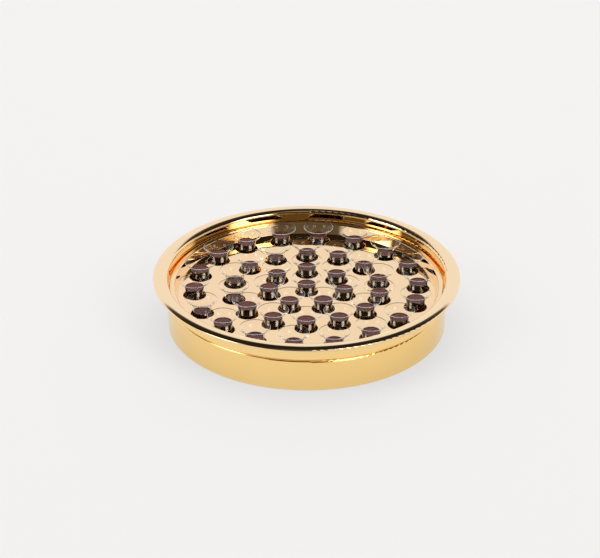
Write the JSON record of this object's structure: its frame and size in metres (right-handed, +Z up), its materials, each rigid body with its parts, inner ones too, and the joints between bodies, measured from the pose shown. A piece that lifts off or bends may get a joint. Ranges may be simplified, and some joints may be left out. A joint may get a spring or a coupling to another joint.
{
  "type": "communion tray",
  "caption": "Round polished metal tray on a base ring, with a pierced disc that holds small clear flared cups upright. The tray, the disc and each cup lift out.",
  "frame": {"origin": "centre of the footprint, on the surface the base stands on", "axes": "+Z up out of the cups; -Y is the side nearest the camera in the picture; +X is the picture's right"},
  "size_m": [0.311, 0.311, 0.054],
  "materials": {
    "gold_metal": "mirror polished",
    "clear_plastic": "clear, glossy"
  },
  "bodies": {
    "base": {"base": "gold_metal"},
    "tray": {"tray": "gold_metal"},
    "cup_disc": {"cup_disc": "gold_metal"},
    "cup_0_01": {"cup_0_01": "clear_plastic"},
    "cup_1_01": {"cup_1_01": "clear_plastic"},
    "cup_1_02": {"cup_1_02": "clear_plastic"},
    "cup_1_03": {"cup_1_03": "clear_plastic"},
    "cup_1_04": {"cup_1_04": "clear_plastic"},
    "cup_1_05": {"cup_1_05": "clear_plastic"},
    "cup_1_06": {"cup_1_06": "clear_plastic"},
    "cup_1_07": {"cup_1_07": "clear_plastic"},
    "cup_2_01": {"cup_2_01": "clear_plastic"},
    "cup_2_02": {"cup_2_02": "clear_plastic"},
    "cup_2_03": {"cup_2_03": "clear_plastic"},
    "cup_2_04": {"cup_2_04": "clear_plastic"},
    "cup_2_05": {"cup_2_05": "clear_plastic"},
    "cup_2_06": {"cup_2_06": "clear_plastic"},
    "cup_2_07": {"cup_2_07": "clear_plastic"},
    "cup_2_08": {"cup_2_08": "clear_plastic"},
    "cup_2_09": {"cup_2_09": "clear_plastic"},
    "cup_2_10": {"cup_2_10": "clear_plastic"},
    "cup_2_11": {"cup_2_11": "clear_plastic"},
    "cup_2_12": {"cup_2_12": "clear_plastic"},
    "cup_2_13": {"cup_2_13": "clear_plastic"},
    "cup_2_14": {"cup_2_14": "clear_plastic"},
    "cup_3_01": {"cup_3_01": "clear_plastic"},
    "cup_3_02": {"cup_3_02": "clear_plastic"},
    "cup_3_03": {"cup_3_03": "clear_plastic"},
    "cup_3_04": {"cup_3_04": "clear_plastic"},
    "cup_3_05": {"cup_3_05": "clear_plastic"},
    "cup_3_06": {"cup_3_06": "clear_plastic"},
    "cup_3_07": {"cup_3_07": "clear_plastic"},
    "cup_3_08": {"cup_3_08": "clear_plastic"},
    "cup_3_09": {"cup_3_09": "clear_plastic"},
    "cup_3_10": {"cup_3_10": "clear_plastic"},
    "cup_3_11": {"cup_3_11": "clear_plastic"},
    "cup_3_12": {"cup_3_12": "clear_plastic"},
    "cup_3_13": {"cup_3_13": "clear_plastic"},
    "cup_3_14": {"cup_3_14": "clear_plastic"},
    "cup_3_15": {"cup_3_15": "clear_plastic"},
    "cup_3_16": {"cup_3_16": "clear_plastic"},
    "cup_3_17": {"cup_3_17": "clear_plastic"},
    "cup_3_18": {"cup_3_18": "clear_plastic"}
  },
  "joints": [
    {"name": "tray_lift", "type": "slide", "parent": "base", "child": "tray", "axis": [0, 0, 1], "range_m": [0, 0.06]},
    {"name": "disc_lift", "type": "slide", "parent": "tray", "child": "cup_disc", "axis": [0, 0, 1], "range_m": [0, 0.06]},
    {"name": "cup_0_01_lift", "type": "slide", "parent": "cup_disc", "child": "cup_0_01", "axis": [0, 0, 1], "range_m": [0, 0.05]},
    {"name": "cup_1_01_lift", "type": "slide", "parent": "cup_disc", "child": "cup_1_01", "axis": [0, 0, 1], "range_m": [0, 0.05]},
    {"name": "cup_1_02_lift", "type": "slide", "parent": "cup_disc", "child": "cup_1_02", "axis": [0, 0, 1], "range_m": [0, 0.05]},
    {"name": "cup_1_03_lift", "type": "slide", "parent": "cup_disc", "child": "cup_1_03", "axis": [0, 0, 1], "range_m": [0, 0.05]},
    {"name": "cup_1_04_lift", "type": "slide", "parent": "cup_disc", "child": "cup_1_04", "axis": [0, 0, 1], "range_m": [0, 0.05]},
    {"name": "cup_1_05_lift", "type": "slide", "parent": "cup_disc", "child": "cup_1_05", "axis": [0, 0, 1], "range_m": [0, 0.05]},
    {"name": "cup_1_06_lift", "type": "slide", "parent": "cup_disc", "child": "cup_1_06", "axis": [0, 0, 1], "range_m": [0, 0.05]},
    {"name": "cup_1_07_lift", "type": "slide", "parent": "cup_disc", "child": "cup_1_07", "axis": [0, 0, 1], "range_m": [0, 0.05]},
    {"name": "cup_2_01_lift", "type": "slide", "parent": "cup_disc", "child": "cup_2_01", "axis": [0, 0, 1], "range_m": [0, 0.05]},
    {"name": "cup_2_02_lift", "type": "slide", "parent": "cup_disc", "child": "cup_2_02", "axis": [0, 0, 1], "range_m": [0, 0.05]},
    {"name": "cup_2_03_lift", "type": "slide", "parent": "cup_disc", "child": "cup_2_03", "axis": [0, 0, 1], "range_m": [0, 0.05]},
    {"name": "cup_2_04_lift", "type": "slide", "parent": "cup_disc", "child": "cup_2_04", "axis": [0, 0, 1], "range_m": [0, 0.05]},
    {"name": "cup_2_05_lift", "type": "slide", "parent": "cup_disc", "child": "cup_2_05", "axis": [0, 0, 1], "range_m": [0, 0.05]},
    {"name": "cup_2_06_lift", "type": "slide", "parent": "cup_disc", "child": "cup_2_06", "axis": [0, 0, 1], "range_m": [0, 0.05]},
    {"name": "cup_2_07_lift", "type": "slide", "parent": "cup_disc", "child": "cup_2_07", "axis": [0, 0, 1], "range_m": [0, 0.05]},
    {"name": "cup_2_08_lift", "type": "slide", "parent": "cup_disc", "child": "cup_2_08", "axis": [0, 0, 1], "range_m": [0, 0.05]},
    {"name": "cup_2_09_lift", "type": "slide", "parent": "cup_disc", "child": "cup_2_09", "axis": [0, 0, 1], "range_m": [0, 0.05]},
    {"name": "cup_2_10_lift", "type": "slide", "parent": "cup_disc", "child": "cup_2_10", "axis": [0, 0, 1], "range_m": [0, 0.05]},
    {"name": "cup_2_11_lift", "type": "slide", "parent": "cup_disc", "child": "cup_2_11", "axis": [0, 0, 1], "range_m": [0, 0.05]},
    {"name": "cup_2_12_lift", "type": "slide", "parent": "cup_disc", "child": "cup_2_12", "axis": [0, 0, 1], "range_m": [0, 0.05]},
    {"name": "cup_2_13_lift", "type": "slide", "parent": "cup_disc", "child": "cup_2_13", "axis": [0, 0, 1], "range_m": [0, 0.05]},
    {"name": "cup_2_14_lift", "type": "slide", "parent": "cup_disc", "child": "cup_2_14", "axis": [0, 0, 1], "range_m": [0, 0.05]},
    {"name": "cup_3_01_lift", "type": "slide", "parent": "cup_disc", "child": "cup_3_01", "axis": [0, 0, 1], "range_m": [0, 0.05]},
    {"name": "cup_3_02_lift", "type": "slide", "parent": "cup_disc", "child": "cup_3_02", "axis": [0, 0, 1], "range_m": [0, 0.05]},
    {"name": "cup_3_03_lift", "type": "slide", "parent": "cup_disc", "child": "cup_3_03", "axis": [0, 0, 1], "range_m": [0, 0.05]},
    {"name": "cup_3_04_lift", "type": "slide", "parent": "cup_disc", "child": "cup_3_04", "axis": [0, 0, 1], "range_m": [0, 0.05]},
    {"name": "cup_3_05_lift", "type": "slide", "parent": "cup_disc", "child": "cup_3_05", "axis": [0, 0, 1], "range_m": [0, 0.05]},
    {"name": "cup_3_06_lift", "type": "slide", "parent": "cup_disc", "child": "cup_3_06", "axis": [0, 0, 1], "range_m": [0, 0.05]},
    {"name": "cup_3_07_lift", "type": "slide", "parent": "cup_disc", "child": "cup_3_07", "axis": [0, 0, 1], "range_m": [0, 0.05]},
    {"name": "cup_3_08_lift", "type": "slide", "parent": "cup_disc", "child": "cup_3_08", "axis": [0, 0, 1], "range_m": [0, 0.05]},
    {"name": "cup_3_09_lift", "type": "slide", "parent": "cup_disc", "child": "cup_3_09", "axis": [0, 0, 1], "range_m": [0, 0.05]},
    {"name": "cup_3_10_lift", "type": "slide", "parent": "cup_disc", "child": "cup_3_10", "axis": [0, 0, 1], "range_m": [0, 0.05]},
    {"name": "cup_3_11_lift", "type": "slide", "parent": "cup_disc", "child": "cup_3_11", "axis": [0, 0, 1], "range_m": [0, 0.05]},
    {"name": "cup_3_12_lift", "type": "slide", "parent": "cup_disc", "child": "cup_3_12", "axis": [0, 0, 1], "range_m": [0, 0.05]},
    {"name": "cup_3_13_lift", "type": "slide", "parent": "cup_disc", "child": "cup_3_13", "axis": [0, 0, 1], "range_m": [0, 0.05]},
    {"name": "cup_3_14_lift", "type": "slide", "parent": "cup_disc", "child": "cup_3_14", "axis": [0, 0, 1], "range_m": [0, 0.05]},
    {"name": "cup_3_15_lift", "type": "slide", "parent": "cup_disc", "child": "cup_3_15", "axis": [0, 0, 1], "range_m": [0, 0.05]},
    {"name": "cup_3_16_lift", "type": "slide", "parent": "cup_disc", "child": "cup_3_16", "axis": [0, 0, 1], "range_m": [0, 0.05]},
    {"name": "cup_3_17_lift", "type": "slide", "parent": "cup_disc", "child": "cup_3_17", "axis": [0, 0, 1], "range_m": [0, 0.05]},
    {"name": "cup_3_18_lift", "type": "slide", "parent": "cup_disc", "child": "cup_3_18", "axis": [0, 0, 1], "range_m": [0, 0.05]}
  ]
}
